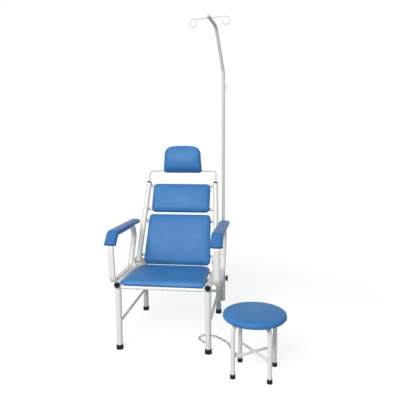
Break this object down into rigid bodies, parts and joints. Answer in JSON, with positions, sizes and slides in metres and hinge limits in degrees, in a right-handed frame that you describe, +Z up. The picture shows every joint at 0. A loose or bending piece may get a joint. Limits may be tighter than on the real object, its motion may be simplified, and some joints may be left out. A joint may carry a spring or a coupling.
{
  "type": "infusion chair",
  "caption": "Tubular infusion chair with reclining padded back, sliding head cushion, looped padded arms, bent drip pole with bag hooks, and a round stool on a chain.",
  "frame": {"origin": "on the floor, under the middle of the box round the whole set", "axes": "+X to the right as seen from the front of the chair, +Y to the back of the chair, +Z up"},
  "size_m": [1.1046, 1.1734, 2.101],
  "materials": {
    "blue_vinyl": "smooth upholstery vinyl, soft gloss",
    "blue_moulding": "moulded soft plastic, glossy",
    "plywood": "bare plywood",
    "foot_rubber": "moulded rubber",
    "black_plastic": "moulded, glossy",
    "grey_plastic": "moulded, dull",
    "bush_nylon": "moulded nylon",
    "bright_steel": "zinc-plated",
    "pole_steel": "stove enamel, pale grey",
    "white_enamel": "stove enamel, warm white"
  },
  "bodies": {
    "frame": {"arm_bolts": "bright_steel", "arm_pad_left": "blue_moulding", "arm_pad_right": "blue_moulding", "arm_spacers": "white_enamel", "arm_tube_left": "white_enamel", "arm_tube_right": "white_enamel", "chair_chain_eye": "bright_steel", "clamp_boss": "white_enamel", "front_leg_left": "white_enamel", "front_leg_right": "white_enamel", "hinge_brackets": "white_enamel", "hinge_pins": "bright_steel", "leg_feet": "foot_rubber", "pole_socket": "white_enamel", "rail_plugs": "black_plastic", "rear_leg_left": "white_enamel", "rear_leg_right": "white_enamel", "rear_stretcher": "white_enamel", "seat_board": "plywood", "seat_crossbar_front": "white_enamel", "seat_crossbar_mid": "white_enamel", "seat_crossbar_rear": "white_enamel", "seat_cushion": "blue_vinyl", "seat_rail_left": "white_enamel", "seat_rail_right": "white_enamel", "security_chain": "bright_steel", "side_stretcher_left": "white_enamel", "side_stretcher_right": "white_enamel", "socket_base_plug": "black_plastic", "socket_weld_plates": "white_enamel"},
    "back": {"back_upright_left": "white_enamel", "back_upright_right": "white_enamel", "hinge_knuckles": "white_enamel", "upright_top_plugs": "black_plastic", "back_crossbar_low": "white_enamel", "back_crossbar_waist": "white_enamel", "back_crossbar_chest": "white_enamel", "back_crossbar_top": "white_enamel", "lumbar_board": "plywood", "lumbar_cushion": "blue_vinyl", "chest_board": "plywood", "chest_cushion": "blue_vinyl"},
    "headrest": {"headrest_rod": "pole_steel", "headrest_board": "plywood", "headrest_cushion": "blue_vinyl", "headrest_clamps": "black_plastic"},
    "bush": {"swivel_bush": "bush_nylon"},
    "pole": {"pole_tube": "pole_steel", "pole_end_cap": "grey_plastic", "bag_hook_bar": "pole_steel", "side_hook": "pole_steel"},
    "knob": {"clamp_knob": "black_plastic", "clamp_screw": "bright_steel"},
    "stool": {"stool_board": "plywood", "stool_braces": "white_enamel", "stool_chain_eye": "bright_steel", "stool_cushion": "blue_vinyl", "stool_feet": "foot_rubber", "stool_hoop": "white_enamel", "stool_hoop_halves": "white_enamel"}
  },
  "joints": [
    {"name": "back_recline", "type": "hinge", "parent": "frame", "child": "back", "pos_m": [-0.18831, 0.28118, 0.4432], "axis": [-1, 0, 0], "range_deg": [0, 50]},
    {"name": "headrest_slide", "type": "slide", "parent": "back", "child": "headrest", "axis": [0, 0.4305, 0.9026], "range_m": [-0.05, 0.06]},
    {"name": "pole_swivel", "type": "hinge", "parent": "frame", "child": "bush", "pos_m": [0.12324, 0.49284, 0.312], "axis": [0, 0, 1], "continuous": true},
    {"name": "pole_slide", "type": "slide", "parent": "bush", "child": "pole", "axis": [0, 0, 1], "range_m": [0, 0.13]},
    {"name": "knob_turn", "type": "hinge", "parent": "frame", "child": "knob", "pos_m": [0.14424, 0.49284, 0.264], "axis": [1, 0, 0], "range_deg": [0, 360]},
    {"name": "stool_slide", "type": "slide", "parent": "frame", "child": "stool", "axis": [1, 0, 0], "range_m": [-0.06, 0.1], "deforming": ["security_chain"]}
  ]
}
